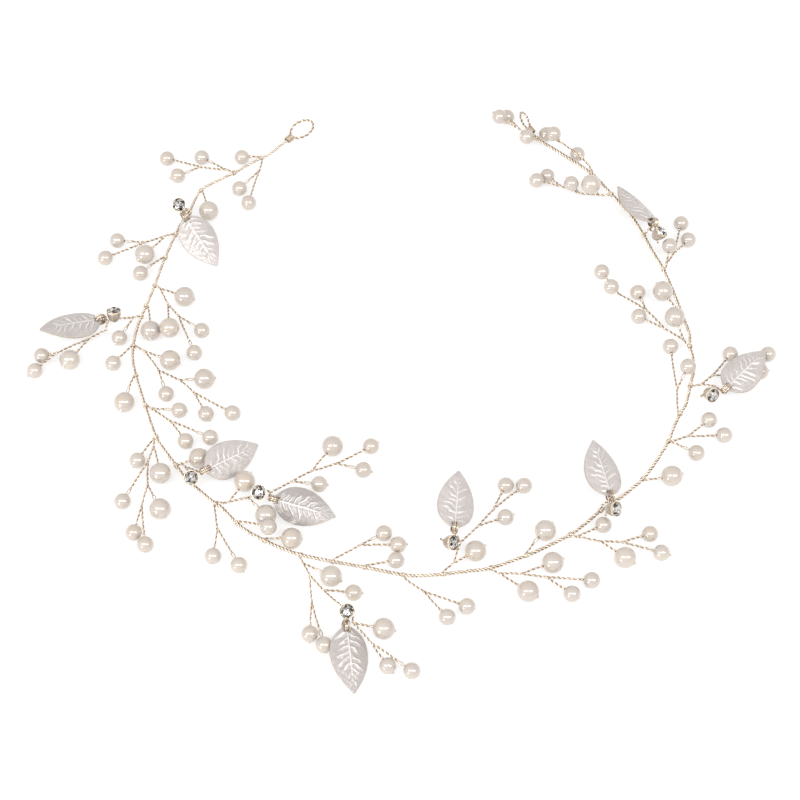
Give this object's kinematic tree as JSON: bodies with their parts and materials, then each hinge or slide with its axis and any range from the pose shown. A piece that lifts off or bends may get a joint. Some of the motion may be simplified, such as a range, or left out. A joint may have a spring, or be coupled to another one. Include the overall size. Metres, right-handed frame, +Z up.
{
  "type": "hair vine",
  "caption": "Bridal hair vine of twisted gold wire, bent to an open horseshoe, with faux-pearl sprigs, embossed leaves and rhinestones in cups; an end loop takes a pin or ribbon.",
  "frame": {"origin": "on the surface that the vine lies on, under the middle of its outline", "axes": "+X to the vine's right as worn side up, +Y towards the open end of the horseshoe, +Z up out of the surface"},
  "size_m": [0.2014, 0.1794, 0.0086],
  "materials": {
    "wire": "light champagne gold, twisted strands, soft shine",
    "pearl": "cream faux pearl, glossy",
    "leaf": "embossed sheet, pearly silver white",
    "cup": "smooth bright silver with a pink cast and a warm rim",
    "stone": "clear, faceted"
  },
  "bodies": {
    "root": {"stem": "wire", "end_loop_left": "wire", "end_loop_right": "wire", "sprig_01": "wire", "sprig_02": "wire", "sprig_03": "wire", "sprig_04": "wire", "sprig_05": "wire", "sprig_06": "wire", "sprig_07": "wire", "sprig_08": "wire", "sprig_09": "wire", "sprig_10": "wire", "sprig_11": "wire", "sprig_12": "wire", "sprig_13": "wire", "sprig_14": "wire", "sprig_15": "wire", "sprig_16": "wire", "sprig_17": "wire", "sprig_18": "wire", "sprig_19": "wire", "sprig_20": "wire", "sprig_21": "wire", "sprig_22": "wire", "sprig_23": "wire", "sprig_24": "wire", "sprig_25": "wire", "sprig_26": "wire", "sprig_27": "wire", "single_twigs": "wire", "pearls_small": "pearl", "pearls_large": "pearl", "leaf_1": "leaf", "leaf_2": "leaf", "leaf_3": "leaf", "leaf_4": "leaf", "leaf_5": "leaf", "leaf_6": "leaf", "leaf_7": "leaf", "leaf_8": "leaf", "leaf_9": "leaf", "cup_1": "cup", "cup_2": "cup", "cup_3": "cup", "cup_4": "cup", "cup_5": "cup", "cup_6": "cup", "cup_7": "cup", "cup_8": "cup", "cup_9": "cup", "stone_1": "stone", "stone_2": "stone", "stone_3": "stone", "stone_4": "stone", "stone_5": "stone", "stone_6": "stone", "stone_7": "stone", "stone_8": "stone", "stone_9": "stone"}
  },
  "joints": []
}
